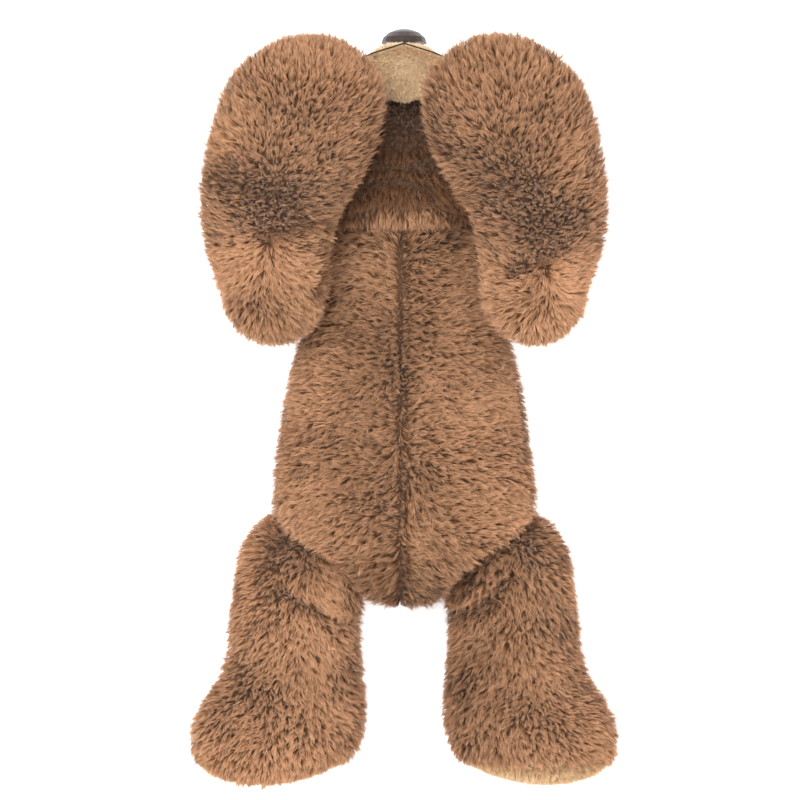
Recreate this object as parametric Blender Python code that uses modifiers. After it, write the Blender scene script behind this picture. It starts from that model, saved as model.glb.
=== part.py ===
"""A plush puppy lying on its back, belly up, sewn from fur-fabric panels over soft stuffing.

The frame: +X is the puppy's own left, +Y runs from the tail to the nose and +Z from the back to the
belly. The back, the crown of the head and the tail rest on the plane z = 0. All sizes are in metres.
Every form is a closed surface swept along Y; a panel is a part of it, thickened inwards, and the
stuffing is the same form a fabric's thickness smaller. Each limb starts in a round root that is
centred on its joint, so that it turns in place.
"""

import math

import bmesh
import bpy
from mathutils import Matrix, Vector
from mathutils.bvhtree import BVHTree

# Fabric and clearances
FABRIC = 0.0022  # backing and flattened pile, through a panel
SEAM_PULL = 0.0008  # how far a panel's edge stands back from its seam
GAP = 0.0003  # between touching pieces
STUFFING_INSET = FABRIC + 2 * GAP

# Torso
TORSO_REAR_Y = -0.158
NECK_TOP_Y = 0.161
NECK_RADIUS = 0.052
NECK_HALF_WIDTH = 0.072
NECK_Z = 0.062
RUMP_CAP = 0.058
CHEST_HALF_WIDTH = 0.088
BELLY_HALF_WIDTH = 0.103
BELLY_HALF_THICKNESS = 0.073
REST_FLAT = 0.005  # how deep the resting side is pressed flat

# Head and muzzle
HEAD_REAR_Y = 0.128
HEAD_FRONT_Y = 0.263
HEAD_HALF_WIDTH = 0.098
HEAD_HALF_THICKNESS = 0.070
HEAD_CAP = 0.056
MUZZLE_REAR_Y = 0.212
MUZZLE_FRONT_Y = 0.290
MUZZLE_HALF_WIDTH = 0.038
MUZZLE_HALF_THICKNESS = 0.036
MUZZLE_DROP = 0.023  # from the head's middle towards the chin
MUZZLE_CAP = 0.026

# Front legs
SHOULDER = Vector((0.1012, 0.094, 0.1170))  # the left leg's joint
PAW_NEST = 0.009  # how far a paw's underside dips beside the top of the muzzle side of the head
SHOULDER_RADIUS = 0.046
SHOULDER_HALF_WIDTH = 0.044
PAW_FRONT_Y = 0.293
PAW_CAP = 0.062
PAW_X = 0.080
PAW_HALF_WIDTH = 0.069
PAW_HALF_THICKNESS = 0.044
PAW_Z = 2 * HEAD_HALF_THICKNESS - REST_FLAT + PAW_HALF_THICKNESS - PAW_NEST

# Hind legs
HIP_RADIUS = 0.056
HIP = Vector((0.081, -0.129, HIP_RADIUS + 0.001))  # the left leg's joint
HIP_LIFT = 60.0  # how far a hind leg swings up towards the belly, in degrees
HIP_STEPS = 6  # the steps of that swing at which the torso is cut clear of the leg
SHANK_HALF_WIDTH = 0.054
SHANK_HALF_THICKNESS = 0.050
FOOT_X = 0.0985
FOOT_HALF_WIDTH = 0.071
FOOT_HALF_THICKNESS = 0.053
FOOT_Z = FOOT_HALF_THICKNESS + 0.003
SOLE_Y = -0.298
SOLE_CAP = 0.030

# Tail
TAIL_ROOT_Y = -0.076
TAIL_TIP_Y = -0.148
TAIL_HALF_WIDTH = 0.017
TAIL_HALF_THICKNESS = 0.012

# Ears
EAR_Y = 0.200
EAR_Z = 0.016
EAR_STANDOFF = 0.0038  # from the head, at the height of the ear's upper side, to the ear's joint
EAR_LENGTH = 0.068
EAR_HALF_WIDTH = 0.030
EAR_HALF_THICKNESS = 0.007

# Eyes and nose
EYE_AIM = Vector((0.0454, 0.2512, 0.0497))  # a point near the left side of the face
EYE_FACING = Vector((0.33, 0.92, -0.23))
EYE_RADIUS = 0.0075
EYE_HEIGHT = 0.0055
BUTTON_SINK = 0.0012  # how far an eye or the nose is pressed into the fabric
NOSE_AIM = Vector((0.0, 0.2900, 0.078))
NOSE_FACING = Vector((0.0, 1.0, -0.12))
NOSE_HALF_WIDTH = 0.018
NOSE_HALF_THICKNESS = 0.013
NOSE_HEIGHT = 0.0115
SHANK_RADIUS = 0.0022
SHANK_LENGTH = 0.0085
WASHER_RADIUS = 0.0070
WASHER_THICKNESS = 0.0016
WASHER_DEPTH = 0.0048  # from the back of the eye or nose to the washer's near face

# Facets
AROUND_BODY = 20
AROUND_LIMB = 16
AROUND_SMALL = 12
AROUND_TURNED = 20
DOME_STEPS = 4
BALL_GROWTH = 1.006  # so that a faceted ball stays outside the round shape it stands for

FUR_BROWN = (0.34, 0.19, 0.105)
CREAM = (0.72, 0.55, 0.34)
FIBRE_WHITE = (0.82, 0.82, 0.80)
NOSE_BROWN = (0.045, 0.025, 0.018)
EYE_BLACK = (0.008, 0.006, 0.006)
WASHER_WHITE = (0.75, 0.75, 0.72)


def clear_scene():
    for item in list(bpy.data.objects):
        bpy.data.objects.remove(item, do_unlink=True)
    for group in list(bpy.data.collections):
        bpy.data.collections.remove(group)


def new_collection(name):
    group = bpy.data.collections.new(name)
    bpy.context.scene.collection.children.link(group)
    return group


def material(name, colour, roughness, metallic=0.0):
    made = bpy.data.materials.new(name)
    made.use_nodes = True
    shader = made.node_tree.nodes["Principled BSDF"]
    shader.inputs["Base Color"].default_value = (*colour, 1.0)
    shader.inputs["Roughness"].default_value = roughness
    shader.inputs["Metallic"].default_value = metallic
    made.diffuse_color = (*colour, 1.0)
    return made


def smooth_at(stations, y):
    """The stations' values at y, on a smooth curve through them. Each station is (y, values...)."""
    if y <= stations[0][0]:
        return stations[0][1:]
    if y >= stations[-1][0]:
        return stations[-1][1:]
    i = next(k for k in range(1, len(stations)) if y <= stations[k][0]) - 1
    before = stations[max(i - 1, 0)]
    start = stations[i]
    end = stations[i + 1]
    after = stations[min(i + 2, len(stations) - 1)]
    span = end[0] - start[0]
    t = (y - start[0]) / span
    values = []
    for k in range(1, len(start)):
        slope_0 = (end[k] - before[k]) / (end[0] - before[0]) * span
        slope_1 = (after[k] - start[k]) / (after[0] - start[0]) * span
        rise = end[k] - start[k]
        bend = rise - slope_0
        turn = slope_1 - rise
        values.append(start[k] + slope_0 * t + (2 * bend - turn) * t**2 + (turn - bend) * t**3)
    return tuple(values)


def ring_places(y_0, y_1, cap_0, cap_1, cap_rings, middle_rings):
    """(y, share of the full width) for each ring of a form with round ends."""
    quarter = math.pi / 2
    places = []
    for i in range(1, cap_rings + 1):
        angle = quarter * i / cap_rings
        places.append((y_0 + cap_0 * (1 - math.cos(angle)), math.sin(angle)))
    start = y_0 + cap_0
    end = y_1 - cap_1
    for i in range(1, middle_rings):
        places.append((start + (end - start) * i / middle_rings, 1.0))
    for i in range(cap_rings, 0, -1):
        angle = quarter * i / cap_rings
        places.append((y_1 - cap_1 * (1 - math.cos(angle)), math.sin(angle)))
    return places


def power(value, squareness):
    return math.copysign(abs(value) ** (2 / squareness), value)


def soft_form(stations, caps, rings, around, squareness=2.0, floor=None):
    """A closed bmesh swept along Y through stations of (y, x, z, half width, half thickness).

    Its faces carry their sector, counted from +X over +Z, and their ring, counted from the low end.
    """
    y_0 = stations[0][0]
    y_1 = stations[-1][0]
    places = ring_places(y_0, y_1, *caps, *rings)
    bm = bmesh.new()
    bmesh.ops.create_uvsphere(bm, u_segments=around, v_segments=len(places) + 1, radius=1.0)
    sector = bm.faces.layers.int.new("sector")
    ring = bm.faces.layers.int.new("ring")
    for face in bm.faces:
        middle = face.calc_center_median()
        turn = math.atan2(middle.y, middle.x) % math.tau
        face[sector] = int(turn / math.tau * around)
        face[ring] = round((math.acos(-middle.normalized().z) / math.pi) * (len(places) + 1) - 0.5)
    for vert in bm.verts:
        step = round(math.acos(max(-1.0, min(1.0, -vert.co.z))) / math.pi * (len(places) + 1))
        turn = math.atan2(vert.co.y, vert.co.x)
        if step == 0:
            y, share = y_0, 0.0
        elif step > len(places):
            y, share = y_1, 0.0
        else:
            y, share = places[step - 1]
        x, z, width, thickness = smooth_at(stations, y)
        vert.co = Vector(
            (
                x + share * width * power(math.cos(turn), squareness),
                y,
                z + share * thickness * power(math.sin(turn), squareness),
            )
        )
        if floor is not None:
            vert.co.z = max(vert.co.z, floor)
    bmesh.ops.recalc_face_normals(bm, faces=bm.faces)
    if bm.calc_volume(signed=True) < 0.0:
        bmesh.ops.reverse_faces(bm, faces=bm.faces)
    return bm


def mirrored(stations, side):
    """Stations with their x on the named side: 1 for the puppy's left, -1 for its right."""
    return [(y, side * x, *rest) for y, x, *rest in stations]


def add_object(name, bm, look, group, parent=None):
    mesh = bpy.data.meshes.new(name)
    bm.to_mesh(mesh)
    bm.free()
    if look is not None:
        mesh.materials.append(look)
    mesh.shade_smooth()
    mesh.set_sharp_from_angle(angle=math.radians(50))
    made = bpy.data.objects.new(name, mesh)
    group.objects.link(made)
    if parent is not None:
        mesh.transform(Matrix.Translation(-parent.location))
        made.parent = parent
    return made


def joint_empty(name, place, group):
    """The empty that a moving piece hangs on, at its joint."""
    made = bpy.data.objects.new(name, None)
    made.empty_display_size = 0.02
    made.location = place
    group.objects.link(made)
    return made


def panel(name, form, keep, look, group, parent=None):
    """The part of a form whose (sector, ring) passes keep, as a sheet of fabric thickened inwards."""
    bm = form.copy()
    sector = bm.faces.layers.int["sector"]
    ring = bm.faces.layers.int["ring"]
    spare = [face for face in bm.faces if not keep(face[sector], face[ring])]
    bmesh.ops.delete(bm, geom=spare, context="FACES")
    edge = bmesh.ops.inset_region(
        bm, faces=bm.faces, thickness=SEAM_PULL, use_boundary=True, use_even_offset=True
    )
    bmesh.ops.delete(bm, geom=edge["faces"], context="FACES")
    made = add_object(name, bm, look, group, parent)
    fabric = made.modifiers.new("Fabric", "SOLIDIFY")
    fabric.thickness = FABRIC
    fabric.offset = -1.0
    return made


def leaf(name, form, height, up, look, group, parent=None):
    """The half of a thin form above or below a height, as one solid leaf of fabric."""
    bm = form.copy()
    side = 1.0 if up else -1.0
    place = Vector((0.0, 0.0, height + side * GAP / 2))
    sliced = bmesh.ops.bisect_plane(
        bm, geom=bm.verts[:] + bm.edges[:] + bm.faces[:], plane_co=place,
        plane_no=(0.0, 0.0, side), clear_inner=True,
    )
    rim = [item for item in sliced["geom_cut"] if isinstance(item, bmesh.types.BMEdge)]
    bmesh.ops.contextual_create(bm, geom=rim)
    bmesh.ops.recalc_face_normals(bm, faces=bm.faces)
    return add_object(name, bm, look, group, parent)


def offset_form(form, distance):
    """A copy of a form, moved along its own normals; a negative distance makes it smaller."""
    bm = form.copy()
    bm.normal_update()
    moved = [vert.co + vert.normal * distance for vert in bm.verts]
    for vert, place in zip(bm.verts, moved):
        vert.co = place
    return bm


def stuffing(name, form, look, group, parent=None):
    return add_object(name, offset_form(form, -STUFFING_INSET), look, group, parent)


def cutter(name, bm, group):
    made = add_object(name, bm, None, group)
    made.display_type = "WIRE"
    made.hide_render = True
    return made


def cut(pieces, tool):
    for piece in pieces:
        taken = piece.modifiers.new(tool.name, "BOOLEAN")
        taken.operation = "DIFFERENCE"
        taken.object = tool


def ball(centre, radii):
    """A seat's envelope: an ellipsoid whose facets clear the round root that turns in it."""
    bm = bmesh.new()
    bmesh.ops.create_uvsphere(bm, u_segments=32, v_segments=16, radius=BALL_GROWTH)
    reach = [radius + GAP for radius in radii]
    bmesh.ops.transform(bm, matrix=Matrix.Diagonal((*reach, 1.0)), verts=bm.verts)
    bmesh.ops.translate(bm, vec=centre, verts=bm.verts)
    return bm


def turned(name, profile, look, group, place, direction, squash=1.0, parent=None):
    """A profile of (radius, height) turned about its own Z, its +Z along direction."""
    mesh = bpy.data.meshes.new(name)
    points = [(radius, 0.0, height) for radius, height in profile]
    edges = [(i, i + 1) for i in range(len(points) - 1)]
    if points[0][0] > 0.0:
        edges.append((len(points) - 1, 0))
    mesh.from_pydata(points, edges, [])
    if look is not None:
        mesh.materials.append(look)
    made = bpy.data.objects.new(name, mesh)
    group.objects.link(made)
    screw = made.modifiers.new("Turn", "SCREW")
    screw.steps = AROUND_TURNED
    screw.render_steps = AROUND_TURNED
    screw.use_merge_vertices = True
    screw.merge_threshold = 0.00001
    screw.use_smooth_shade = True
    made.parent = parent
    made.location = place - (parent.location if parent is not None else Vector())
    made.rotation_euler = direction.to_track_quat("Z", "X").to_euler()
    made.scale.x = squash
    return made


def dome(radius, height):
    """(radius, height) down a button's crown, from its top to its rim."""
    steps = [math.pi / 2 * i / DOME_STEPS for i in range(DOME_STEPS)]
    return [(radius * math.sin(angle), height * math.cos(angle)) for angle in steps]


def button_profile(radius, height):
    """A dome on a shank, from its top down its outer side to the middle of the shank's end."""
    shank = [(SHANK_RADIUS, 0.0), (SHANK_RADIUS, -SHANK_LENGTH), (0.0, -SHANK_LENGTH)]
    return dome(radius, height) + [(radius, 0.0)] + shank


def washer_profile():
    """The locking washer behind the fabric, which the shank passes through."""
    inner = SHANK_RADIUS + GAP
    near = -WASHER_DEPTH
    far = near - WASHER_THICKNESS
    return [(inner, near), (WASHER_RADIUS, near), (WASHER_RADIUS, far), (inner, far)]


def seat_profile(radius, height):
    """The room that a button and its washer need, with a gap all round."""
    rim = radius + GAP
    hole = SHANK_RADIUS + GAP
    pocket = WASHER_RADIUS + GAP
    near = -WASHER_DEPTH + GAP
    far = -WASHER_DEPTH - WASHER_THICKNESS - GAP
    end = -SHANK_LENGTH - GAP
    behind = [(rim, 0.0), (rim, -GAP), (hole, -GAP), (hole, near), (pocket, near)]
    return dome(rim, height + GAP) + behind + [(pocket, far), (hole, far), (hole, end), (0.0, end)]


def button(name, radius, height, squash, form, aim, direction, look, fabric_and_stuffing, parent):
    """An eye or a nose on its shank, with its washer, let into the form's fabric and stuffing."""
    facing = direction.normalized()
    place = reached(form, aim + facing * radius, -facing) - facing * BUTTON_SINK
    form.free()
    outline = button_profile(radius, height)
    turned(name, outline, look, parts, place, facing, squash, parent)
    turned(name + "_washer", washer_profile(), washer_white, parts, place, facing, squash, parent)
    seat = turned(name + "_seat", seat_profile(radius, height), None, cutters, place, facing, squash)
    seat.display_type = "WIRE"
    seat.hide_render = True
    cut(fabric_and_stuffing, seat)


def lying(y, width, thickness, under):
    """A station whose underside is at the height under."""
    return (y, 0.0, under + thickness, width, thickness)


def torso_form():
    """The rump rises over the tail; the back is pressed flat; the neck is round about its joint."""
    over_tail = 2 * TAIL_HALF_THICKNESS + 2 * GAP
    neck = (0.0, NECK_Z, NECK_HALF_WIDTH, NECK_RADIUS)
    stations = [
        lying(TORSO_REAR_Y, 0.058, 0.050, over_tail + 0.010),
        lying(TORSO_REAR_Y + 0.030, 0.086, 0.056, over_tail + 0.006),
        lying(TORSO_REAR_Y + 0.063, 0.104, 0.061, over_tail + 0.001),
        lying(-0.045, BELLY_HALF_WIDTH, BELLY_HALF_THICKNESS - 0.004, 0.010),
        lying(0.000, 0.097, BELLY_HALF_THICKNESS, -REST_FLAT),
        lying(0.045, CHEST_HALF_WIDTH, 0.068, -REST_FLAT + 0.001),
        (NECK_TOP_Y - NECK_RADIUS - 0.004, *neck),
        (NECK_TOP_Y - NECK_RADIUS, *neck),
        (NECK_TOP_Y, *neck),
    ]
    return soft_form(stations, (RUMP_CAP, NECK_RADIUS), (4, 10), AROUND_BODY, floor=0.0)


def head_form():
    middle = HEAD_HALF_THICKNESS - REST_FLAT
    stations = [
        (HEAD_REAR_Y, 0.0, middle, HEAD_HALF_WIDTH - 0.012, HEAD_HALF_THICKNESS - 0.010),
        (0.185, 0.0, middle, HEAD_HALF_WIDTH, HEAD_HALF_THICKNESS),
        (0.225, 0.0, middle, HEAD_HALF_WIDTH - 0.004, HEAD_HALF_THICKNESS),
        (HEAD_FRONT_Y, 0.0, middle + 0.002, HEAD_HALF_WIDTH - 0.016, HEAD_HALF_THICKNESS - 0.010),
    ]
    return soft_form(stations, (0.045, HEAD_CAP), (4, 4), AROUND_BODY, floor=0.0)


def muzzle_form():
    middle = HEAD_HALF_THICKNESS - REST_FLAT + MUZZLE_DROP
    stations = [
        (MUZZLE_REAR_Y, 0.0, middle, MUZZLE_HALF_WIDTH, MUZZLE_HALF_THICKNESS),
        (MUZZLE_FRONT_Y, 0.0, middle, MUZZLE_HALF_WIDTH, MUZZLE_HALF_THICKNESS),
    ]
    return soft_form(stations, (0.010, MUZZLE_CAP), (3, 4), AROUND_LIMB, squareness=2.2)


def front_leg_form(side):
    rise = PAW_Z - SHOULDER.z
    root = (SHOULDER.x, SHOULDER.z, SHOULDER_HALF_WIDTH, SHOULDER_RADIUS)
    stations = [
        (SHOULDER.y - SHOULDER_RADIUS, *root),
        (SHOULDER.y, *root),
        (SHOULDER.y + 0.006, *root),
        (0.127, 0.1065, SHOULDER.z + 0.21 * rise, 0.051, SHOULDER_RADIUS - 0.001),
        (0.158, 0.1030, SHOULDER.z + 0.64 * rise, 0.058, PAW_HALF_THICKNESS + 0.001),
        (0.190, 0.0900, SHOULDER.z + 0.91 * rise, 0.068, PAW_HALF_THICKNESS),
        (PAW_FRONT_Y - PAW_CAP, PAW_X, PAW_Z, PAW_HALF_WIDTH, PAW_HALF_THICKNESS),
        (PAW_FRONT_Y, 0.072, PAW_Z, PAW_HALF_WIDTH - 0.004, PAW_HALF_THICKNESS),
    ]
    caps = (SHOULDER_RADIUS, PAW_CAP)
    return soft_form(mirrored(stations, side), caps, (4, 5), AROUND_LIMB)


def hind_leg_form(side):
    root = (HIP.x, HIP.z, SHANK_HALF_WIDTH, HIP_RADIUS)
    stations = [
        (SOLE_Y, 0.113, FOOT_Z, 0.062, FOOT_HALF_THICKNESS),
        (-0.268, FOOT_X + 0.003, FOOT_Z, FOOT_HALF_WIDTH - 0.003, FOOT_HALF_THICKNESS),
        (-0.240, FOOT_X, FOOT_Z, FOOT_HALF_WIDTH, FOOT_HALF_THICKNESS),
        (-0.216, 0.0900, HIP.z, 0.061, 0.051),
        (-0.190, 0.0860, HIP.z, SHANK_HALF_WIDTH, SHANK_HALF_THICKNESS),
        (-0.165, 0.0860, HIP.z, SHANK_HALF_WIDTH, SHANK_HALF_THICKNESS + 0.002),
        (HIP.y - 0.010, *root),
        (HIP.y, *root),
        (HIP.y + HIP_RADIUS, *root),
    ]
    caps = (SOLE_CAP, HIP_RADIUS)
    return soft_form(mirrored(stations, side), caps, (4, 7), AROUND_LIMB)


def shank_envelope(side, lift):
    """A hind leg below its hip, lifted by so many degrees, with a gap all round."""
    form = hind_leg_form(side)
    bm = offset_form(form, GAP)
    form.free()
    everything = bm.verts[:] + bm.edges[:] + bm.faces[:]
    sliced = bmesh.ops.bisect_plane(
        bm, geom=everything, plane_co=HIP, plane_no=(0.0, 1.0, 0.0), clear_outer=True
    )
    rim = [item for item in sliced["geom_cut"] if isinstance(item, bmesh.types.BMEdge)]
    bmesh.ops.contextual_create(bm, geom=rim)
    bmesh.ops.recalc_face_normals(bm, faces=bm.faces)
    turn = Matrix.Rotation(math.radians(-lift), 3, "X")
    bmesh.ops.rotate(bm, cent=on_side(HIP, side), matrix=turn, verts=bm.verts)
    return bm


def tail_form():
    stations = [
        (TAIL_TIP_Y, 0.0, TAIL_HALF_THICKNESS, 0.013, TAIL_HALF_THICKNESS),
        (-0.115, 0.0, TAIL_HALF_THICKNESS, TAIL_HALF_WIDTH, TAIL_HALF_THICKNESS),
        (TAIL_ROOT_Y, 0.0, TAIL_HALF_THICKNESS, TAIL_HALF_WIDTH, TAIL_HALF_THICKNESS),
    ]
    caps = (0.014, TAIL_HALF_WIDTH)
    return soft_form(stations, caps, (5, 3), AROUND_LIMB)


def reached(form, start, direction):
    """The first point of a form that a line from start along direction meets."""
    return BVHTree.FromBMesh(form).ray_cast(start, direction)[0]


def ear_root(side):
    """The joint of an ear, beside the head with its root just clear of it."""
    form = head_form()
    start = Vector((side * 2 * HEAD_HALF_WIDTH, EAR_Y, EAR_Z + EAR_HALF_THICKNESS))
    beside = reached(form, start, Vector((-side, 0.0, 0.0)))
    form.free()
    return Vector((beside.x + side * EAR_STANDOFF, EAR_Y, EAR_Z))


def ear_form(side, place):
    """A flat flap, swept along its length and then laid out sideways from its root."""
    tip = EAR_LENGTH
    root = -EAR_HALF_THICKNESS
    stations = [
        (root, 0.0, 0.0, EAR_HALF_WIDTH * 0.8, EAR_HALF_THICKNESS),
        (tip * 0.5, 0.0, 0.0, EAR_HALF_WIDTH, EAR_HALF_THICKNESS),
        (tip, 0.0, 0.0, EAR_HALF_WIDTH * 0.8, EAR_HALF_THICKNESS),
    ]
    bm = soft_form(stations, (EAR_HALF_THICKNESS, 0.022), (3, 4), AROUND_SMALL)
    bmesh.ops.rotate(bm, matrix=Matrix.Rotation(-side * math.pi / 2, 3, "Z"), verts=bm.verts)
    bmesh.ops.translate(bm, vec=place, verts=bm.verts)
    return bm


def on_side(place, side):
    return Vector((side * place.x, place.y, place.z))


def within(first, last, around):
    """A test for the sectors from first to last, which may run past +X."""
    chosen = {k % around for k in range(first, last + 1)}
    return lambda sector, ring: sector in chosen


def make_torso():
    form = torso_form()
    ring_layer = form.faces.layers.int["ring"]
    last_ring = max(face[ring_layer] for face in form.faces)
    runs = {
        "belly_panel_left": (1, 4),
        "belly_panel_right": (5, 8),
        "back_panel_right": (9, 14),
        "back_panel_left": (15, 20),
    }
    made = []
    for name, (first, last) in runs.items():
        inside = within(first, last, AROUND_BODY)
        keep = lambda sector, ring, inside=inside: inside(sector, ring) and ring < last_ring - 1
        made.append(panel(name, form, keep, fur, parts))
    made.append(stuffing("torso_stuffing", form, fibre, parts))
    form.free()
    return made


def make_head(joint):
    form = head_form()
    runs = {
        "cheek_panel_left": (-2, 2),
        "throat_panel": (3, 6),
        "cheek_panel_right": (7, 11),
        "crown_panel": (12, 17),
    }
    pieces = []
    for name, (first, last) in runs.items():
        pieces.append(panel(name, form, within(first, last, AROUND_BODY), fur, parts, joint))
    pieces.append(stuffing("head_stuffing", form, fibre, parts, joint))
    form.free()
    neck_radii = (NECK_HALF_WIDTH, NECK_RADIUS, NECK_RADIUS)
    cut(pieces, cutter("neck_seat", ball(joint.location, neck_radii), cutters))
    return pieces


def make_muzzle(joint):
    form = muzzle_form()
    runs = {
        "lip_panel_left": (-4, 1),
        "chin_panel": (2, 5),
        "lip_panel_right": (6, 11),
    }
    pieces = []
    for name, (first, last) in runs.items():
        pieces.append(panel(name, form, within(first, last, AROUND_LIMB), cream, parts, joint))
    pieces.append(stuffing("muzzle_stuffing", form, fibre, parts, joint))
    form.free()
    face = head_form()
    cut(pieces, cutter("face_envelope", offset_form(face, GAP), cutters))
    face.free()
    return pieces


def make_front_leg(side, word, joint):
    form = front_leg_form(side)
    half = AROUND_LIMB // 2
    top = within(0, half - 1, AROUND_LIMB)
    under = within(half, AROUND_LIMB - 1, AROUND_LIMB)
    panel("front_leg_inner_panel_" + word, form, top, fur, parts, joint)
    panel("front_leg_outer_panel_" + word, form, under, fur, parts, joint)
    stuffing("front_leg_stuffing_" + word, form, fibre, parts, joint)
    form.free()


def make_hind_leg(side, word, joint):
    form = hind_leg_form(side)
    half = AROUND_LIMB // 2
    sole_rings = 2
    top = within(0, half - 1, AROUND_LIMB)
    under = within(half, AROUND_LIMB - 1, AROUND_LIMB)
    above = lambda sector, ring: top(sector, ring) and ring > sole_rings
    below = lambda sector, ring: under(sector, ring) and ring > sole_rings
    sole = lambda sector, ring: ring <= sole_rings
    panel("hind_leg_inner_panel_" + word, form, above, fur, parts, joint)
    panel("hind_leg_outer_panel_" + word, form, below, fur, parts, joint)
    panel("sole_pad_" + word, form, sole, cream, parts, joint)
    stuffing("hind_leg_stuffing_" + word, form, fibre, parts, joint)
    form.free()


def make_tail(joint):
    form = tail_form()
    half = AROUND_LIMB // 2
    panel("tail_inner_panel", form, within(0, half - 1, AROUND_LIMB), fur, parts, joint)
    panel("tail_outer_panel", form, within(half, AROUND_LIMB - 1, AROUND_LIMB), fur, parts, joint)
    stuffing("tail_stuffing", form, fibre, parts, joint)
    form.free()


def make_ear(side, word, joint):
    form = ear_form(side, joint.location)
    leaf("ear_lining_" + word, form, EAR_Z, True, fur, parts, joint)
    leaf("ear_outer_" + word, form, EAR_Z, False, fur, parts, joint)
    form.free()


clear_scene()
parts = new_collection("plush_dog")
cutters = new_collection("cutters")
joints = new_collection("joints")
fur = material("brown_fur", FUR_BROWN, 0.9)
cream = material("cream_velour", CREAM, 0.85)
fibre = material("white_fibre", FIBRE_WHITE, 0.95)
nose_brown = material("nose_plastic", NOSE_BROWN, 0.35)
eye_black = material("eye_plastic", EYE_BLACK, 0.12)
washer_white = material("washer_plastic", WASHER_WHITE, 0.5)

torso = make_torso()

neck_joint = joint_empty("neck_joint", Vector((0.0, NECK_TOP_Y - NECK_RADIUS, NECK_Z)), joints)
head_pieces = make_head(neck_joint)
muzzle_pieces = make_muzzle(neck_joint)
button(
    "nose", NOSE_HALF_WIDTH, NOSE_HEIGHT, NOSE_HALF_THICKNESS / NOSE_HALF_WIDTH,
    muzzle_form(), NOSE_AIM, NOSE_FACING, nose_brown, muzzle_pieces, neck_joint,
)
for side, word in ((1, "left"), (-1, "right")):
    button(
        "eye_" + word, EYE_RADIUS, EYE_HEIGHT, 1.0, head_form(), on_side(EYE_AIM, side),
        on_side(EYE_FACING, side), eye_black, head_pieces, neck_joint,
    )
    ear_joint = joint_empty("ear_joint_" + word, ear_root(side), joints)
    make_ear(side, word, ear_joint)
    shoulder = joint_empty("shoulder_joint_" + word, on_side(SHOULDER, side), joints)
    make_front_leg(side, word, shoulder)
    hip = joint_empty("hip_joint_" + word, on_side(HIP, side), joints)
    make_hind_leg(side, word, hip)
    hip_radii = (SHANK_HALF_WIDTH, HIP_RADIUS, HIP_RADIUS)
    cut(torso, cutter("hip_seat_" + word, ball(on_side(HIP, side), hip_radii), cutters))
    for step in range(HIP_STEPS, -1, -1):
        lift = HIP_LIFT * step / HIP_STEPS
        room = cutter(f"hip_room_{word}_{lift:.0f}", shank_envelope(side, lift), cutters)
        cut(torso, room)
    shoulder_radii = (SHOULDER_HALF_WIDTH, SHOULDER_RADIUS, SHOULDER_RADIUS)
    shoulder_seat = ball(on_side(SHOULDER, side), shoulder_radii)
    cut(torso, cutter("shoulder_seat_" + word, shoulder_seat, cutters))

tail_joint = joint_empty(
    "tail_joint", Vector((0.0, TAIL_ROOT_Y - TAIL_HALF_WIDTH, TAIL_HALF_THICKNESS)), joints
)
make_tail(tail_joint)
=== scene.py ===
"""The plush puppy on its back: stuffed skins, faux fur, cream velour, a glossy nose and eyes.

Each body gets one stuffed skin, blown up by a cloth simulation that is sewn down along the
seams. On it stands a pile of tapered blades, one fur piece for each sewn panel of the frame.
"""

import math

import bmesh
import bpy
import numpy as np
from mathutils import Matrix, Vector
from mathutils.bvhtree import BVHTree
from mathutils.kdtree import KDTree


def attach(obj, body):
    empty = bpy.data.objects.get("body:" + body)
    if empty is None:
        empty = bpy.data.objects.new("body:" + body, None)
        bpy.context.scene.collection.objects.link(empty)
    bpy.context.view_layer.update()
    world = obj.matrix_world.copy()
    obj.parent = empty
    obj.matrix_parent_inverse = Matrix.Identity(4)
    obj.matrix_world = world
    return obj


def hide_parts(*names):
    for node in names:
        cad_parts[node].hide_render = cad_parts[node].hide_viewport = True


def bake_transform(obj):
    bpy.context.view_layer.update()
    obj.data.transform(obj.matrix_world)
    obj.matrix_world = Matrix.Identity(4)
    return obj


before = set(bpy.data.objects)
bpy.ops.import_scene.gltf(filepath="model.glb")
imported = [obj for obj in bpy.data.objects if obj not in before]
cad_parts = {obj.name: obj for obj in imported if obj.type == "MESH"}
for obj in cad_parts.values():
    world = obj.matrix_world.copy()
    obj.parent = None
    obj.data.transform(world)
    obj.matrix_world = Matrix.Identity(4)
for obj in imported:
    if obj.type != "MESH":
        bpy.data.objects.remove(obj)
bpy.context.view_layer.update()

SEED = 7

# Skins, in metres.
VOXEL = 0.005
START_INSET = 0.0055
SIM_FRAMES = 20
SIM_PRESSURE = 4.0
MOST_SWELL = 0.0045
SEWN_WITHIN = 0.0035
FLOOR_CLEARANCE = 0.0012

# Pile of the faux fur.
FUR_LENGTH = 0.0118
FUR_WIDTH = 0.00054
FUR_LEAN = math.radians(54.0)
FRONT_AREA = 0.80e-6
BACK_AREA = 1.5e-6
TUFT_AREA = 5.5e-6
TUFT_PULL = 0.42
ROOT_DEPTH = 0.0006
TUFT_TURN = 0.45
TUFT_TILT = 0.16
MIDDLE_TINT = 0.52  # of 0 to 1, dark to pale, along FUR_TINTS
# Painted rim light: pile on the sides, near the outline seen from above, is lighter.
SIDE_PAINTED_RIM_LIGHT = 0.22

# Pile around a dent: its painted light, how it spreads, how much denser it stands and how far out.
DENT_PAINTED_LIGHT = 0.12
DENT_SPREAD = 0.35
DENT_WIDE_PAINTED_LIGHT = 0.30
DENT_DENSER = 0.8
DENT_REACH = 1.6
DENT_WIDE_PAINTED_LIGHT_REACH = 2.0

# Creases in a skin.
CREASE_DEPTH = 0.0045
CREASE_WIDTH = 0.0045

EAR_ROOT = Vector((0.0790, 0.2000, 0.0165))
EAR_ROOT_RADII = (0.021, 0.024, 0.0095)
NECK = Vector((0.0, 0.137, 0.050))
NECK_RADII = (0.066, 0.032)
NECK_LENGTH = 0.060

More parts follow.
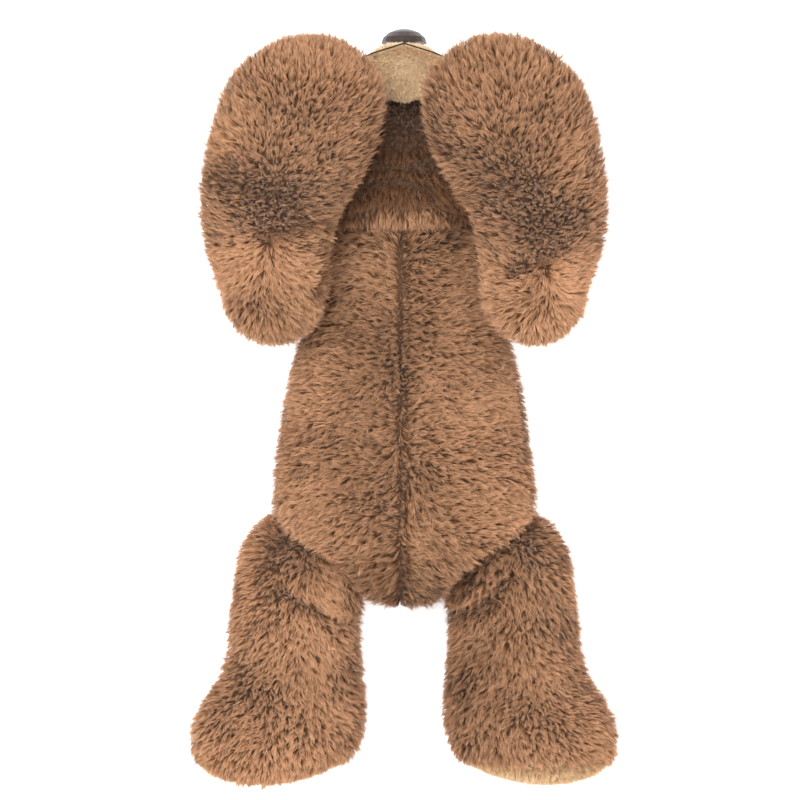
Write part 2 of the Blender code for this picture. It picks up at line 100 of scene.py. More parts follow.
# The mouth, an upside-down V across the top of the muzzle as it lies.
MOUTH_Y = 0.2835
MOUTH_SLOPE = 0.32
MOUTH_LOW_Z = 0.070
THREAD_LIFT = 0.0026
THREAD_RADIUS = 0.0006

CAMERA_AIM = Vector((-0.0032, 0.0078, 0.10))
CAMERA_DISTANCE = 6.0
FRAME_WIDTH = 0.624
SENSOR = 36.0
FLOOR_SIZE = 200.0  # wide enough that its far edge stays near the horizon in low views


# ---------------------------------------------------------------- small helpers


def unit(v):
    return v / np.maximum(np.linalg.norm(v, axis=-1, keepdims=True), 1e-9)


def noise(points, size, seed):
    """Smooth noise from a few plane waves, about -1 to 1."""
    rng = np.random.default_rng(seed)
    total = np.zeros(len(points))
    for _ in range(7):
        wave = rng.normal(size=3)
        wave *= rng.uniform(0.6, 1.5) / np.linalg.norm(wave)
        total += np.sin(points @ wave * (2 * math.pi / size) + rng.uniform(0, 6.28))
    return total / 2.6


def coords(mesh):
    co = np.empty(len(mesh.vertices) * 3)
    mesh.vertices.foreach_get("co", co)
    return co.reshape(-1, 3)


def node_mesh(nodes, roots=()):
    """One new mesh from copies of these CAD nodes, and round roots sewn into the next body."""
    bm = bmesh.new()
    for name in nodes:
        bm.from_mesh(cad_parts[name].data)
    for centre, radii in roots:
        place = Matrix.Translation(centre) @ Matrix.Diagonal((*radii, 1.0))
        bmesh.ops.create_uvsphere(bm, u_segments=32, v_segments=16, radius=1.0, matrix=place)
    mesh = bpy.data.meshes.new("joined")
    bm.to_mesh(mesh)
    bm.free()
    return mesh


def add(name, mesh):
    ob = bpy.data.objects.new(name, mesh)
    bpy.context.scene.collection.objects.link(ob)
    return ob


def applied(ob):
    """The object's mesh with its modifiers applied, and the modifiers gone."""
    graph = bpy.context.evaluated_depsgraph_get()
    mesh = bpy.data.meshes.new_from_object(ob.evaluated_get(graph), depsgraph=graph)
    old = ob.data
    ob.modifiers.clear()
    ob.data = mesh
    bpy.data.meshes.remove(old)
    return mesh


def biggest_part(mesh):
    """Drops the loose parts that a remesh leaves inside."""
    bm = bmesh.new()
    bm.from_mesh(mesh)
    left, parts = set(bm.verts), []
    while left:
        seed = left.pop()
        part, edge = [seed], [seed]
        while edge:
            v = edge.pop()
            for e in v.link_edges:
                o = e.other_vert(v)
                if o in left:
                    left.discard(o)
                    part.append(o)
                    edge.append(o)
        parts.append(part)
    keep = set(max(parts, key=len))
    bmesh.ops.delete(bm, geom=[v for v in bm.verts if v not in keep], context="VERTS")
    bm.to_mesh(mesh)
    bm.free()


def tree_of(node):
    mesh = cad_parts[node].data
    verts = [v.co.copy() for v in mesh.vertices]
    return BVHTree.FromPolygons(verts, [tuple(p.vertices) for p in mesh.polygons])


def seams_of(points, panels):
    """For each point its nearest panel, and how far along the surface the next panel starts."""
    gaps = np.empty((len(panels), len(points)))
    for row, panel in enumerate(panels):
        tree = tree_of(panel)
        for i, p in enumerate(points):
            gaps[row, i] = tree.find_nearest(Vector(p))[3]
    order = np.sort(gaps, axis=0)
    nearest = gaps.argmin(axis=0)
    if len(panels) == 1:
        return nearest, np.full(len(points), 1.0)
    return nearest, np.sqrt(np.maximum(order[1] ** 2 - order[0] ** 2, 0.0))


# ---------------------------------------------------------------- materials


def new_material(name):
    material = bpy.data.materials.new(name)
    material.use_nodes = True
    nodes, links = material.node_tree.nodes, material.node_tree.links
    return material, nodes, links, nodes["Principled BSDF"]


def ramp(nodes, stops):
    node = nodes.new("ShaderNodeValToRGB")
    element = node.color_ramp.elements
    while len(element) < len(stops):
        element.new(0.5)
    for item, (place, colour) in zip(element, stops):
        item.position = place
        item.color = (*colour, 1.0)
    return node


def pile_material(name, along, tints, roughness=0.8, sheen=0.2):
    """Pile: its colour runs from root to tip along v, and from blade to blade along u."""
    material, nodes, links, shader = new_material(name)
    uv = nodes.new("ShaderNodeUVMap")
    uv.uv_map = "OFBake"
    split = nodes.new("ShaderNodeSeparateXYZ")
    links.new(uv.outputs["UV"], split.inputs["Vector"])
    length = ramp(nodes, along)
    links.new(split.outputs["Y"], length.inputs["Fac"])
    tint = ramp(nodes, tints)
    links.new(split.outputs["X"], tint.inputs["Fac"])
    mix = nodes.new("ShaderNodeMix")
    mix.data_type = "RGBA"
    mix.blend_type = "MULTIPLY"
    mix.inputs["Factor"].default_value = 1.0
    links.new(length.outputs["Color"], mix.inputs["A"])
    links.new(tint.outputs["Color"], mix.inputs["B"])
    links.new(mix.outputs["Result"], shader.inputs["Base Color"])
    shader.inputs["Roughness"].default_value = roughness
    shader.inputs["Sheen Weight"].default_value = sheen
    shader.inputs["Sheen Roughness"].default_value = 0.4
    shader.inputs["Sheen Tint"].default_value = (1.0, 0.86, 0.72, 1.0)
    shader.inputs["Specular IOR Level"].default_value = 0.25
    return material


def skin_material(name, dark, light):
    """Knitted backing between the roots."""
    material, nodes, links, shader = new_material(name)
    grain = nodes.new("ShaderNodeTexNoise")
    grain.inputs["Scale"].default_value = 260.0
    grain.inputs["Detail"].default_value = 6.0
    place = nodes.new("ShaderNodeTexCoord")
    links.new(place.outputs["Object"], grain.inputs["Vector"])
    colour = ramp(nodes, ((0.3, dark), (0.7, light)))
    links.new(grain.outputs["Fac"], colour.inputs["Fac"])
    links.new(colour.outputs["Color"], shader.inputs["Base Color"])
    bump = nodes.new("ShaderNodeBump")
    bump.inputs["Strength"].default_value = 0.5
    bump.inputs["Distance"].default_value = 0.001
    links.new(grain.outputs["Fac"], bump.inputs["Height"])
    links.new(bump.outputs["Normal"], shader.inputs["Normal"])
    shader.inputs["Roughness"].default_value = 0.95
    return material


def plastic_material(name, dark, light, scale, roughness):
    """Moulded plastic, with a faint grain and small changes of gloss."""
    material, nodes, links, shader = new_material(name)
    grain = nodes.new("ShaderNodeTexNoise")
    grain.inputs["Scale"].default_value = scale
    grain.inputs["Detail"].default_value = 5.0
    place = nodes.new("ShaderNodeTexCoord")
    links.new(place.outputs["Object"], grain.inputs["Vector"])
    colour = ramp(nodes, ((0.35, dark), (0.65, light)))
    links.new(grain.outputs["Fac"], colour.inputs["Fac"])
    links.new(colour.outputs["Color"], shader.inputs["Base Color"])
    gloss = nodes.new("ShaderNodeMapRange")
    gloss.inputs["To Min"].default_value = roughness * 0.8
    gloss.inputs["To Max"].default_value = roughness * 1.3
    links.new(grain.outputs["Fac"], gloss.inputs["Value"])
    links.new(gloss.outputs["Result"], shader.inputs["Roughness"])
    bump = nodes.new("ShaderNodeBump")
    bump.inputs["Strength"].default_value = 0.2
    bump.inputs["Distance"].default_value = 0.0003
    links.new(grain.outputs["Fac"], bump.inputs["Height"])
    links.new(bump.outputs["Normal"], shader.inputs["Normal"])
    shader.inputs["Coat Weight"].default_value = 0.3
    return material


FUR_ALONG = (
    (0.0, (0.110, 0.046, 0.018)),
    (0.45, (0.370, 0.180, 0.085)),
    (1.0, (0.760, 0.440, 0.255)),
)
FUR_TINTS = ((0.0, (0.36, 0.31, 0.27)), (0.5, (0.86, 0.85, 0.84)), (1.0, (1.14, 1.14, 1.14)))
fur_brown = pile_material("fur_brown", FUR_ALONG, FUR_TINTS)
CREAM_ALONG = (
    (0.0, (0.62, 0.42, 0.24)),
    (0.5, (0.84, 0.63, 0.41)),
    (1.0, (0.95, 0.78, 0.57)),
)
CREAM_TINTS = ((0.0, (0.66, 0.56, 0.42)), (0.5, (0.92, 0.88, 0.80)), (1.0, (1.0, 1.0, 1.0)))
velour_cream = pile_material("velour_cream", CREAM_ALONG, CREAM_TINTS, sheen=0.2)
backing_brown = skin_material("backing_brown", (0.055, 0.026, 0.013), (0.12, 0.06, 0.03))
backing_cream = skin_material("backing_cream", (0.45, 0.30, 0.17), (0.62, 0.45, 0.28))
nose_gloss = plastic_material("nose_gloss", (0.022, 0.011, 0.009), (0.045, 0.022, 0.018), 900, 0.42)
eye_gloss = plastic_material("eye_gloss", (0.004, 0.003, 0.003), (0.010, 0.007, 0.006), 300, 0.12)
washer_white = plastic_material("washer_white", (0.55, 0.55, 0.53), (0.70, 0.70, 0.68), 400, 0.40)
thread_dark = skin_material("thread_dark", (0.02, 0.011, 0.008), (0.06, 0.035, 0.025))


# ---------------------------------------------------------------- skins


def blown_up(ob, sewn):
    """Runs the cloth: pressure from inside, sewn down where the seams are."""
    start = coords(ob.data)
    group = ob.vertex_groups.new(name="sewn")
    for i, weight in enumerate(sewn):
        if weight > 0:
            group.add([i], float(weight), "REPLACE")
    cloth = ob.modifiers.new("fill", "CLOTH")
    cloth.settings.quality = 4
    cloth.settings.mass = 0.3
    cloth.settings.tension_stiffness = 12
    cloth.settings.compression_stiffness = 8
    cloth.settings.use_pressure = True
    cloth.settings.uniform_pressure_force = SIM_PRESSURE
    cloth.settings.effector_weights.gravity = 0.0
    cloth.settings.vertex_group_mass = "sewn"
    cloth.collision_settings.use_collision = False
    cloth.point_cache.frame_start = 1
    cloth.point_cache.frame_end = SIM_FRAMES
    scene = bpy.context.scene
    for number in range(1, SIM_FRAMES + 1):
        scene.frame_set(number)
    graph = bpy.context.evaluated_depsgraph_get()
    moved = coords(ob.evaluated_get(graph).to_mesh()) - start
    ob.modifiers.clear()
    scene.frame_set(1)
    far = np.linalg.norm(moved, axis=1, keepdims=True)
    return start + moved * np.minimum(1.0, MOST_SWELL / np.maximum(far, 1e-9))


def crease_gap(points, lines):
    """How far each point lies, seen from above, from the nearest of these lines, and which way."""
    best, away = np.full(len(points), 1.0), np.zeros((len(points), 3))
    for line in lines:
        for a, b in zip(np.array(line[:-1]), np.array(line[1:])):
            t = np.clip((points[:, :2] - a) @ (b - a) / ((b - a) @ (b - a)), 0.0, 1.0)
            off = points[:, :2] - (a + t[:, None] * (b - a))
            far = np.linalg.norm(off, axis=1)
            closer = far < best
            best[closer] = far[closer]
            away[closer, :2] = off[closer]
    return best, unit(away)


class Skin:
    """A body's stuffed skin, with what the pile needs to know about it."""

    def __init__(self, name, body, nodes, panels, voxel, material, slot, inset, dents=(),
                 creases=(), fill=0.8, shown_by_pile=(), roots=()):
        ob = add(name, node_mesh([*nodes, *shown_by_pile], roots))
        remesh = ob.modifiers.new("voxels", "REMESH")
        remesh.mode = "VOXEL"
        remesh.voxel_size = voxel
        remesh.use_smooth_shade = True
        smooth = ob.modifiers.new("smooth", "SMOOTH")
        smooth.iterations = 3
        biggest_part(applied(ob))
        mesh = ob.data
        normals = np.array([v.normal for v in mesh.vertices])
        co = coords(mesh) - normals * inset
        mesh.vertices.foreach_set("co", co.ravel())
        mesh.update()
        _, along = seams_of(co, panels)
        sewn = np.clip(1.0 - along / SEWN_WITHIN, 0.0, 1.0) ** 0.5
        co = blown_up(ob, sewn)
        mesh.vertices.foreach_set("co", co.ravel())
        mesh.update()
        ob.vertex_groups.clear()
        finer = ob.modifiers.new("finer", "SUBSURF")
        finer.levels = 1
        mesh = applied(ob)
        mesh.update()
        normals = np.array([v.normal for v in mesh.vertices])
        co = coords(mesh)
        for centre, radius, depth in dents:
            flat = co[:, :2] - np.array(centre)
            away = np.sqrt((flat[:, 0] / radius[0]) ** 2 + (flat[:, 1] / radius[1]) ** 2)
            facing = np.clip(normals[:, 2] * 2.0, 0.0, 1.0)
            co -= normals * (depth * np.exp(-away**2) * facing)[:, None]
        if creases:
            far, _ = crease_gap(co, creases)
            facing = np.clip(normals[:, 2] * 2.0, 0.0, 1.0)
            co -= normals * (CREASE_DEPTH * np.exp(-((far / CREASE_WIDTH) ** 2)) * facing)[:, None]
        co[:, 2] = np.maximum(co[:, 2], FLOOR_CLEARANCE)
        mesh.vertices.foreach_set("co", co.ravel())
        mesh.update()
        mesh.shade_smooth()
        mesh.materials.clear()
        mesh.materials.append(material)
        mesh.calc_loop_triangles()
        self.object, self.body, self.panels = ob, body, panels
        self.dents, self.creases = dents, creases
        self.co = co
        self.normals = np.array([v.normal for v in mesh.vertices])
        self.tris = np.array([t.vertices for t in mesh.loop_triangles])
        self.label, self.along = seams_of(co, panels)
        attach(ob, body)
        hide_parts(*nodes)

    def paint(self, number, material):
        """Gives the backing under one panel a material of its own."""
        mesh = self.object.data
        mesh.materials.append(material)
        for face in mesh.polygons:
            if (self.label[list(face.vertices)] == number).sum() * 2 > len(face.vertices):
                face.material_index = 1


def pile(name, skin, panel, comb, area, seed, length=FUR_LENGTH, width=FUR_WIDTH, lean=FUR_LEAN,
         tuft_area=TUFT_AREA, pull=TUFT_PULL, material=fur_brown, parting=1.0,
         shade=None):
    """Blades standing on one panel of a skin, combed along comb(points)."""
    rng = np.random.default_rng(SEED * 1000 + seed)
    index = skin.panels.index(panel)
    labels = skin.label[skin.tris]
    mine = (labels == index).sum(axis=1) >= 2
    tris = skin.tris[mine]
    a, b, c = (skin.co[tris[:, k]] for k in range(3))
    sizes = np.linalg.norm(np.cross(b - a, c - a), axis=1) / 2
    middles = (a + b + c) / 3
    for centre, radius, _ in skin.dents:
        flat = (middles[:, :2] - np.array(centre)) / (np.array(radius) * DENT_REACH)
        sizes = sizes * (1.0 + DENT_DENSER * np.exp(-(flat**2).sum(axis=1)))
    count = int(sizes.sum() / area)
    pick = rng.choice(len(tris), size=count, p=sizes / sizes.sum())
    r, s = np.sqrt(rng.random(count)), rng.random(count)
    weights = np.stack([1 - r, r * (1 - s), r * s], axis=1)

    def at(values):
        return np.einsum("nk,nk...->n...", weights, values[tris[pick]])

    root, normal, along = at(skin.co), unit(at(skin.normals)), at(skin.along)
    keep = along > 0.0006 * parting
    root, normal, along = root[keep], normal[keep], along[keep]
    count = len(root)

    tufts = rng.choice(count, size=max(8, int(count * area / tuft_area)), replace=False)
    tree = KDTree(len(tufts))
    for i, t in enumerate(tufts):
        tree.insert(root[t], i)
    tree.balance()
    tuft = np.array([tree.find(p)[1] for p in root])
    own = tufts[tuft]

    lay = comb(root)
    for centre, radius, _ in skin.dents:
        away = np.zeros_like(root)
        away[:, :2] = root[:, :2] - np.array(centre)
        near = np.exp(-((away[:, 0] / radius[0]) ** 2 + (away[:, 1] / radius[1]) ** 2) / 4.0)
        lay = lay + unit(away) * near[:, None] * DENT_SPREAD
    if skin.creases:
        far, away = crease_gap(root, skin.creases)
        far[normal[:, 2] < 0.1] = 1.0
        lay = lay + away * (np.exp(-((far / 0.007) ** 2)) * 1.5)[:, None]
        along = np.minimum(along, far * 1.2)
    lay = lay - normal * np.einsum("nk,nk->n", lay, normal)[:, None]
    lay = unit(lay)
    side = np.cross(normal, lay)
    tuft_turn = rng.normal(size=len(tufts)) * TUFT_TURN
    turn = noise(root, 0.05, seed + 11) * 0.35 + tuft_turn[tuft] + rng.normal(size=count) * 0.22
    lay = lay * np.cos(turn)[:, None] + side * np.sin(turn)[:, None]
    side = np.cross(normal, lay)
    tuft_lean = rng.normal(size=len(tufts)) * TUFT_TILT
    up = lean + noise(root, 0.07, seed + 23) * 0.16 + tuft_lean[tuft]
    tuft_long = 1.0 + rng.normal(size=len(tufts)) * 0.10
    long = length * tuft_long[tuft] * rng.uniform(0.72, 1.08, count)
    long *= 1.0 - 0.45 * np.exp(-((along / 0.0028) ** 2)) * parting
    lift, reach = long * np.sin(up), long * np.cos(up)
    tip = root + normal * lift[:, None] + lay * reach[:, None]
    tip = tip + (tip[own] - tip) * (pull * rng.uniform(0.3, 1.4, count))[:, None]
    middle = root + (tip - root) * 0.5 + normal * (long * 0.12)[:, None]
    middle = middle - lay * (long * 0.08)[:, None]

    twist = rng.normal(size=count) * 0.5
    across = side * np.cos(twist)[:, None] + normal * np.sin(twist)[:, None]
    blade = unit(np.cross(across, tip - root))
    outward = np.where(np.einsum("nk,nk->n", blade, normal) < 0, -1.0, 1.0)[:, None]
    across = across * outward
    half = width / 2 * rng.uniform(0.7, 1.3, count)[:, None]
    points = np.stack(
        [root - across * half, root + across * half,
         middle - across * half * 0.85, middle + across * half * 0.85, tip],
        axis=1,
    )
    points[:, :2] -= (normal * ROOT_DEPTH)[:, None]
    points[:, :, 2] = np.maximum(points[:, :, 2], 0.0004)
    points = points.reshape(-1, 3)

    first = np.arange(count)[:, None] * 5
    quads = (first + np.array([0, 1, 3, 2])).ravel()
    ends = (first + np.array([2, 3, 4])).ravel()
    mesh = bpy.data.meshes.new(name)
    mesh.vertices.add(len(points))
    mesh.vertices.foreach_set("co", points.ravel())
    mesh.loops.add(len(quads) + len(ends))
    mesh.loops.foreach_set("vertex_index", np.concatenate([quads, ends]).astype(np.int32))
    mesh.polygons.add(count * 2)
    starts = np.concatenate([np.arange(count) * 4, len(quads) + np.arange(count) * 3])
    mesh.polygons.foreach_set("loop_start", starts.astype(np.int32))
    mesh.update(calc_edges=True)

    tuft_tint = rng.normal(size=len(tufts)) * 0.10
    tint = MIDDLE_TINT + noise(root, 0.11, seed + 5) * 0.10 + tuft_tint[tuft]
    tint = tint + rng.normal(size=count) * 0.10
    # Painted shade: blades beside a seam or crease are darker, for the shade in its parting.
    tint -= 0.45 * np.exp(-((along / 0.0024) ** 2)) * parting
    # Painted light: upward-facing pile in a dent is lighter, against the shade of the dent.
    for centre, radius, _ in skin.dents:
        flat = root[:, :2] - np.array(centre)
        near = np.exp(-((flat[:, 0] / radius[0]) ** 2 + (flat[:, 1] / radius[1]) ** 2))
        tint += near * DENT_PAINTED_LIGHT * (normal[:, 2] > 0)
    # The caller's shade adds painted shade and painted light, and for some panels their own tone.
    if shade is not None:
        tint += shade(root)
    # Painted rim light: blades whose root faces sideways are lighter.
    tint += SIDE_PAINTED_RIM_LIGHT * np.clip(1.0 - np.abs(normal[:, 2]) * 2.2, 0.0, 1.0)
    steps = 64
    column = np.clip((tint * steps).astype(int), 0, steps - 1) / steps
    u = np.stack([column, column + 1 / steps, column + 0.15 / steps, column + 0.85 / steps,
                  column + 0.5 / steps], axis=1)
    v = np.tile([0.0, 0.0, 0.5, 0.5, 1.0], (count, 1))
    uv = np.stack([u, v], axis=2).reshape(-1, 2)
    layer = mesh.uv_layers.new(name="OFBake")
    layer.uv.foreach_set("vector", uv[np.concatenate([quads, ends])].astype(np.float32).ravel())
    mesh.shade_smooth()
    mesh.materials.append(material)
    ob = add(name, mesh)
    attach(ob, skin.body)
    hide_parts(panel)
    return ob


# ---------------------------------------------------------------- combing


def along_vector(x, y, z=0.0):
    return lambda points: np.tile(np.array([x, y, z], float), (len(points), 1))


def torso_comb(points):
    """Outwards from the middle seam and a little down towards the rump."""
    side = np.sign(points[:, 0] + 0.003)
    out = np.stack([side, -0.45 + 0 * side, 0 * side], axis=1)
    wave = noise(points, 0.16, 41)
    out[:, 1] += wave * 0.5
    return out


def from_point(x, y, bias):
    def comb(points):
        away = points - np.array([x, y, 0.0])
        away[:, 2] = 0.0
        return unit(away) + np.array(bias)

    return comb


def leg_comb(side):
    def comb(points):
        out = np.tile(np.array([0.18 * side, -1.0, 0.0]), (len(points), 1))
        centre = 0.093 * side
        out[:, 0] += (points[:, 0] - centre) * 6.0
        return out

    return comb


# ---------------------------------------------------------------- the puppy

THROAT_FOLD = (
    (-0.0700, 0.140), (-0.0510, 0.148), (-0.0370, 0.157), (-0.0200, 0.161),
    (0.0160, 0.161), (0.0340, 0.156), (0.0510, 0.146), (0.0700, 0.138),
)
THROAT_WRINKLES = (
    ((-0.030, 0.180), (0.000, 0.183), (0.022, 0.176)),
    ((-0.022, 0.196), (0.004, 0.193), (0.024, 0.199)),
)
LEG_CREASES = {
    1: (((0.034, -0.160), (0.060, -0.150), (0.085, -0.128)),),
    -1: (((-0.0960, -0.137), (-0.0540, -0.165), (-0.0330, -0.163)),),
}
# Painted light: the hind leg on the key light's side is lighter all over; both legs are also
# lighter towards the foot.
LEG_PAINTED_LIGHT = {1: (0.0, 0.12), -1: (0.22, 0.05)}  # the whole leg, and more at the foot
SOLE_TOPS = {1: 1.0, -1: 0.075}  # above this height the rim of the sole is brown


def dent_painted_light(dents):
    """Painted light: lightens the pile around a dent, against the shade in its parting."""
    centre, radius, _ = dents[0]

    def shade(points):
        flat = (points[:, :2] - np.array(centre)) / (np.array(radius) * DENT_WIDE_PAINTED_LIGHT_REACH)
        return DENT_WIDE_PAINTED_LIGHT * np.exp(-(flat**2).sum(axis=1))

    return shade


belly_dents = (
    ((-0.026, -0.0195), (0.012, 0.005), 0.0055),
    ((-0.045, -0.060), (0.020, 0.0035), 0.0045),
    ((0.029, -0.109), (0.014, 0.004), 0.0050),
    ((-0.003, 0.030), (0.004, 0.018), 0.0030),
    ((0.075, -0.012), (0.004, 0.020), 0.0030),
)
torso = Skin(
    "torso_skin", "torso", ["torso_stuffing"],
    ["belly_panel_left", "belly_panel_right", "back_panel_left", "back_panel_right"],
    VOXEL, backing_brown, "brown_fur", START_INSET, belly_dents,
)


def belly_painted_shade(points):
    """Painted shade: the belly is darker between the hind legs."""
    low = np.clip((-0.075 - points[:, 1]) / 0.05, 0.0, 1.0)
    return -0.20 * low * np.clip(1.6 - np.abs(points[:, 0]) / 0.04, 0.0, 1.0)


for number, word in enumerate(("left", "right")):
    pile(f"belly_fur_{word}", torso, f"belly_panel_{word}", torso_comb, FRONT_AREA, 1 + number,
         shade=belly_painted_shade)
    pile(f"back_fur_{word}", torso, f"back_panel_{word}", torso_comb, BACK_AREA, 3 + number)

for side, word, seed in ((1, "left", 20), (-1, "right", 40)):
    if side < 0:
        paw_dents = (((-0.106, 0.129), (0.014, 0.012), 0.0045),)
        paw_creases = (
            ((-0.0250, 0.290), (-0.0205, 0.281), (-0.0187, 0.245), (-0.0218, 0.223),
             (-0.0280, 0.201), (-0.0350, 0.181), (-0.0445, 0.165), (-0.0570, 0.133),
             (-0.0700, 0.094)),
            ((-0.100, 0.131), (-0.080, 0.139), (-0.060, 0.140)),
        )
    else:
        paw_dents = (((0.110, 0.110), (0.016, 0.014), 0.0025),)
        paw_creases = (((0.085, 0.102), (0.100, 0.108), (0.118, 0.118)),)
    panels = [f"front_leg_inner_panel_{word}", f"front_leg_outer_panel_{word}"]
    paw = Skin(
        f"front_leg_skin_{word}", f"front_leg_{word}", [f"front_leg_stuffing_{word}"], panels,
        VOXEL, backing_brown, "brown_fur", START_INSET, paw_dents, paw_creases,
    )
    comb = from_point(*paw_dents[0][0], (0.0, 0.55, 0.0))
    pile(f"front_leg_inner_fur_{word}", paw, panels[0], comb, FRONT_AREA, seed,
         shade=dent_painted_light(paw_dents))
    pile(f"front_leg_outer_fur_{word}", paw, panels[1], comb, BACK_AREA, seed + 1)

    panels = [
        f"hind_leg_inner_panel_{word}", f"hind_leg_outer_panel_{word}", f"sole_pad_{word}",
    ]
    leg = Skin(
        f"hind_leg_skin_{word}", f"hind_leg_{word}", [f"hind_leg_stuffing_{word}"], panels,
        VOXEL, backing_brown, "brown_fur", START_INSET, (), LEG_CREASES[side],
    )
    leg.label[(leg.label == 2) & (leg.co[:, 2] > SOLE_TOPS[side])] = 0
    leg.paint(2, backing_cream)
    comb = leg_comb(side)
    leg_painted_light = LEG_PAINTED_LIGHT[side]
    # Painted light: the inner pile is lighter on the lit leg and towards the foot.
    pile(f"hind_leg_inner_fur_{word}", leg, panels[0], comb, FRONT_AREA, seed + 2,
         shade=lambda points: leg_painted_light[0] + leg_painted_light[1] * np.clip((-0.18 - points[:, 1]) / 0.06, 0, 1))
    pile(f"hind_leg_outer_fur_{word}", leg, panels[1], comb, BACK_AREA, seed + 3)
    pile(
        f"sole_velour_{word}", leg, panels[2], along_vector(0, 0, 1.0), 0.7e-6, seed + 4,
        length=0.0070, width=0.0006, lean=math.radians(62), tuft_area=6e-6, pull=0.3,
        material=velour_cream, parting=0.2,
        shade=lambda points: np.full(len(points), 0.25),
    )

head_panels = ["throat_panel", "cheek_panel_left", "cheek_panel_right", "crown_panel"]
head = Skin(
    "head_skin", "head", ["head_stuffing"], head_panels,
    VOXEL, backing_brown, "brown_fur", START_INSET, (), (THROAT_FOLD, *THROAT_WRINKLES),
)
head_comb = from_point(0.0, 0.30, (0.0, -0.4, 0.0))


def throat_painted_shade(points):
    """Painted shade: the throat, in the shadow between the paws, is darker above the fold at the
    neck.
    """
    fold = np.interp(points[:, 0], *np.array(THROAT_FOLD).T)
    above = np.clip((points[:, 1] - fold) / 0.004, 0.0, 1.0)
    return -0.75 * above * (points[:, 2] > NECK.z)


for number, panel in enumerate(head_panels):
    name = panel.replace("_panel", "_fur")
    shade = throat_painted_shade if panel != "crown_panel" else None
    pile(name, head, panel, head_comb, BACK_AREA, 60 + number, shade=shade)

# The neck inside the seam where the head is sewn on, its sides cut into many rings.
neck_mesh = bpy.data.meshes.new("neck_backing")
bm = bmesh.new()
turn = Matrix.Rotation(math.pi / 2, 4, "X") @ Matrix.Diagonal((*NECK_RADII, NECK_LENGTH, 1.0))
bmesh.ops.create_cone(
    bm, cap_ends=True, segments=48, radius1=1.0, radius2=1.0, depth=1.0,
    matrix=Matrix.Translation(NECK) @ turn,
)
sides = [e for e in bm.edges if abs(e.verts[0].co.y - e.verts[1].co.y) > NECK_LENGTH / 2]
bmesh.ops.subdivide_edges(bm, edges=sides, cuts=12, use_grid_fill=True)
bmesh.ops.recalc_face_normals(bm, faces=bm.faces)
bm.to_mesh(neck_mesh)
bm.free()
neck_mesh.shade_smooth()
neck_mesh.materials.append(backing_brown)
neck = add("neck_backing", neck_mesh)
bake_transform(neck)

muzzle_panels = ["chin_panel", "lip_panel_left", "lip_panel_right"]
muzzle = Skin(
    "muzzle_skin", "head", ["muzzle_stuffing"], muzzle_panels,
    0.003, backing_cream, "cream_velour", 0.0012,
)
mouth = MOUTH_Y - MOUTH_SLOPE * np.abs(muzzle.co[:, 0])
above = muzzle.co[:, 2] > MOUTH_LOW_Z
ahead = muzzle.co[:, 1] - mouth
lips = np.where(muzzle.co[:, 0] > 0, 1, 2)
muzzle.label = np.where(above & (ahead < 0), 0, np.where(above, lips, muzzle.label))
muzzle.along = np.where(above, np.abs(ahead), muzzle.along)
on_lip = above & (ahead > 0)
muzzle.along[on_lip] = np.minimum(np.abs(ahead), np.abs(muzzle.co[:, 0]))[on_lip]
for number, panel in enumerate(muzzle_panels):
    name = panel.replace("_panel", "_velour")
    shade = lambda points: np.full(len(points), -0.08 if number == 0 else 0.3)
    comb = along_vector(0, -1.0) if number == 0 else along_vector(0, 0.2, -1.0)
    pile(
        name, muzzle, panel, comb, 0.5e-6, 70 + number,
        length=0.0036, width=0.0005, lean=math.radians(48), tuft_area=4e-6, pull=0.3,
        material=velour_cream, parting=0.35, shade=shade,
    )

muzzle_tree = BVHTree.FromPolygons([Vector(p) for p in muzzle.co], muzzle.tris.tolist())


def thread(name, spots):
    """A sewn line on the muzzle, laid on the velour from above."""
    path = []
    for x, y in spots:
        hit, normal, _, _ = muzzle_tree.ray_cast(Vector((x, y, 0.4)), Vector((0, 0, -1)))
        if hit is not None:
            path.append(hit + normal * THREAD_LIFT)
    curve = bpy.data.curves.new(name, "CURVE")
    curve.dimensions = "3D"
    curve.bevel_depth = THREAD_RADIUS
    curve.bevel_resolution = 2
    curve.use_fill_caps = True
    spline = curve.splines.new("POLY")
    spline.points.add(len(path) - 1)
    for point, place in zip(spline.points, path):
        point.co = (*place, 1.0)
    curve.materials.append(thread_dark)
    ob = add(name, curve)
    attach(ob, "head")


thread("mouth_seam", [(x, MOUTH_Y - MOUTH_SLOPE * abs(x)) for x in np.linspace(-0.036, 0.036, 49)])
thread("philtrum_seam", [(0.0, y) for y in np.linspace(MOUTH_Y, MOUTH_Y + 0.0036, 6)])

for side, word, seed in ((1, "left", 80), (-1, "right", 84)):
    panels = [f"ear_outer_{word}", f"ear_lining_{word}"]
    ear = Skin(
        f"ear_skin_{word}", f"ear_{word}", [], panels, 0.003, backing_brown, "brown_fur", 0.0020,
        fill=0.3, shown_by_pile=panels,
        roots=[((side * EAR_ROOT.x, EAR_ROOT.y, EAR_ROOT.z), EAR_ROOT_RADII)],
    )
    for number, panel in enumerate(panels):
        name = panel.replace("ear_outer", "ear_fur").replace("ear_lining", "ear_lining_fur")
        pile(name, ear, panel, along_vector(0, -1.0, -0.2), 1.4e-6, seed + number,
             length=0.0080, width=0.0006, lean=math.radians(35))

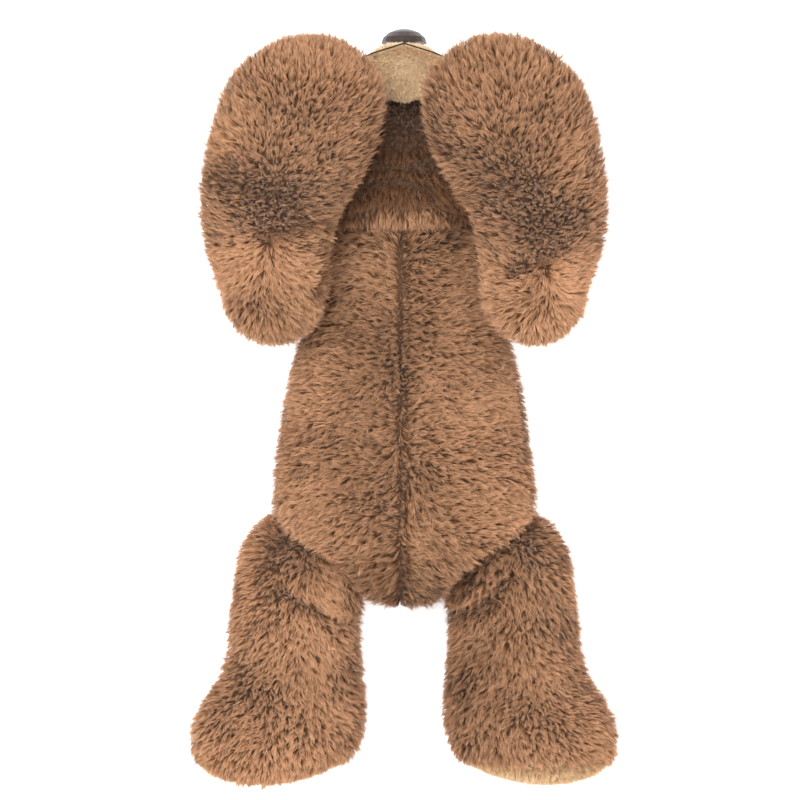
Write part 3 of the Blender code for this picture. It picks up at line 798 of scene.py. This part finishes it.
tail = Skin(
    "tail_skin", "tail", ["tail_stuffing"], ["tail_inner_panel", "tail_outer_panel"],
    0.003, backing_brown, "brown_fur", 0.0025,
)
for number, panel in enumerate(("tail_inner_panel", "tail_outer_panel")):
    name = panel.replace("_panel", "_fur")
    pile(name, tail, panel, along_vector(0, -1.0), 1.4e-6, 90 + number,
         length=0.0090, lean=math.radians(38))

for node, material in (
    ("nose", nose_gloss), ("eye_left", eye_gloss), ("eye_right", eye_gloss),
    ("nose_washer", washer_white), ("eye_left_washer", washer_white),
    ("eye_right_washer", washer_white),
):
    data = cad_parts[node].data
    data.materials.clear()
    data.materials.append(material)


# ---------------------------------------------------------------- floor, light, camera

bpy.ops.mesh.primitive_plane_add(size=FLOOR_SIZE, location=(0.0, 0.0, 0.0))
floor = bpy.context.object
floor.name = "floor"
material, nodes, links, shader = new_material("pale_floor")
shader.inputs["Base Color"].default_value = (0.92, 0.92, 0.92, 1.0)
shader.inputs["Roughness"].default_value = 0.9
shader.inputs["Emission Color"].default_value = (1.0, 1.0, 1.0, 1.0)
shader.inputs["Emission Strength"].default_value = 0.7
floor.data.materials.append(material)

world = bpy.data.worlds.new("soft_room")
bpy.context.scene.world = world
world.use_nodes = True
world.node_tree.nodes["Background"].inputs["Color"].default_value = (1.0, 0.99, 0.98, 1.0)
world.node_tree.nodes["Background"].inputs["Strength"].default_value = 0.88


def softbox(name, location, size, power):
    light = bpy.data.lights.new(name, "AREA")
    light.shape = "DISK"
    light.size = size
    light.energy = power
    ob = bpy.data.objects.new(name, light)
    ob.location = location
    ob.rotation_euler = (-Vector(location)).to_track_quat("-Z", "Y").to_euler()
    bpy.context.scene.collection.objects.link(ob)


softbox("key_light", (-0.5, 0.3, 2.0), 1.2, 34.0)
softbox("fill_light", (0.9, -0.6, 1.8), 1.4, 14.0)

camera = bpy.data.cameras.new("camera")
camera_ob = bpy.data.objects.new("camera", camera)
bpy.context.scene.collection.objects.link(camera_ob)
camera.sensor_width = SENSOR
camera.lens = SENSOR * CAMERA_DISTANCE / FRAME_WIDTH
camera_ob.location = CAMERA_AIM + Vector((0.0, 0.0, CAMERA_DISTANCE))
bpy.context.scene.camera = camera_ob
bpy.context.scene.view_settings.view_transform = "Standard"
